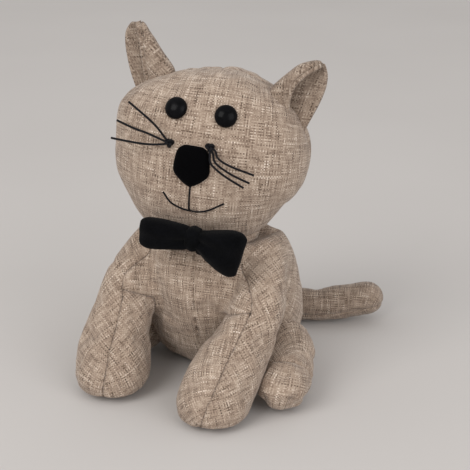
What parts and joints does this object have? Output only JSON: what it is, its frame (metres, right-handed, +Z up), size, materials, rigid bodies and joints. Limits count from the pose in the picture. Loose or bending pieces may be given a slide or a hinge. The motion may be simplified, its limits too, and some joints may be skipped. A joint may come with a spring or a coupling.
{
  "type": "plush cat",
  "caption": "Sitting stuffed cat in woven linen-look cloth with button eyes, velvet nose, cord whiskers, stitched mouth, cupped ears, bow tie and tail.",
  "frame": {"origin": "middle of the flat base panel on the surface the cat sits on", "axes": "+Z up, the cat faces -Y, +X is the cat's left"},
  "size_m": [0.1995, 0.2269, 0.2517],
  "materials": {
    "linen_cloth": "matte melange weave",
    "stuffing_fibre": "fluffy polyester",
    "pellet_cotton": "plain cotton",
    "eye_plastic": "satin black",
    "nose_velvet": "velvet",
    "black_cord": "waxed cotton cord",
    "bow_cloth": "matte cotton"
  },
  "bodies": {
    "torso": {"chest_panel": "linen_cloth", "side_panel_left": "linen_cloth", "side_panel_right": "linen_cloth", "base_panel": "linen_cloth", "front_leg_left_outer_panel": "linen_cloth", "front_leg_left_inner_panel": "linen_cloth", "front_leg_right_outer_panel": "linen_cloth", "front_leg_right_inner_panel": "linen_cloth", "front_paw_left_sole": "linen_cloth", "front_paw_right_sole": "linen_cloth", "hind_foot_left_upper": "linen_cloth", "hind_foot_left_sole": "linen_cloth", "hind_foot_right_upper": "linen_cloth", "hind_foot_right_sole": "linen_cloth", "torso_stuffing": "stuffing_fibre", "front_leg_left_stuffing": "stuffing_fibre", "front_leg_right_stuffing": "stuffing_fibre", "hind_foot_left_stuffing": "stuffing_fibre", "hind_foot_right_stuffing": "stuffing_fibre", "ballast_bag": "pellet_cotton", "bow_wing_left": "bow_cloth", "bow_wing_right": "bow_cloth", "bow_wrap": "bow_cloth", "bow_tab": "bow_cloth"},
    "neck": {"neck_stuffing": "stuffing_fibre"},
    "head": {"face_panel": "linen_cloth", "head_back_panel_left": "linen_cloth", "head_back_panel_right": "linen_cloth", "head_stuffing": "stuffing_fibre", "eye_left": "eye_plastic", "eye_right": "eye_plastic", "eye_washer_left": "eye_plastic", "eye_washer_right": "eye_plastic", "nose_pad": "nose_velvet", "mouth_centre_stitch": "black_cord", "mouth_smile_stitch": "black_cord", "whisker_knot_left": "black_cord", "whisker_knot_right": "black_cord", "whisker_left_1": "black_cord", "whisker_left_2": "black_cord", "whisker_left_3": "black_cord", "whisker_right_1": "black_cord", "whisker_right_2": "black_cord", "whisker_right_3": "black_cord"},
    "ear_left": {"ear_left_front_panel": "linen_cloth", "ear_left_back_panel": "linen_cloth"},
    "ear_right": {"ear_right_front_panel": "linen_cloth", "ear_right_back_panel": "linen_cloth"},
    "tail": {"tail_upper_panel": "linen_cloth", "tail_lower_panel": "linen_cloth", "tail_stuffing": "stuffing_fibre"}
  },
  "joints": [
    {"name": "head_turn", "type": "hinge", "parent": "torso", "child": "neck", "pos_m": [0, -0.02, 0.086], "axis": [0, 0, 1], "range_deg": [-15, 15], "stiffness_Nm_per_rad": 0.3},
    {"name": "head_nod", "type": "hinge", "parent": "neck", "child": "head", "pos_m": [0, -0.02, 0.106], "axis": [1, 0, 0], "range_deg": [-6, 0], "stiffness_Nm_per_rad": 0.5},
    {"name": "ear_left_fold", "type": "hinge", "parent": "head", "child": "ear_left", "pos_m": [0.05466, -0.01172, 0.20254], "axis": [0.8558, 0.0163, -0.5171], "range_deg": [-25, 0], "stiffness_Nm_per_rad": 0.02},
    {"name": "ear_right_fold", "type": "hinge", "parent": "head", "child": "ear_right", "pos_m": [-0.03926, -0.01631, 0.21645], "axis": [0.8731, 0.0823, 0.4805], "range_deg": [-25, 0], "stiffness_Nm_per_rad": 0.02},
    {"name": "tail_swing", "type": "hinge", "parent": "torso", "child": "tail", "pos_m": [0.008, 0.0688, 0.0146], "axis": [0, 0, 1], "range_deg": [-8, 25], "stiffness_Nm_per_rad": 0.05}
  ]
}
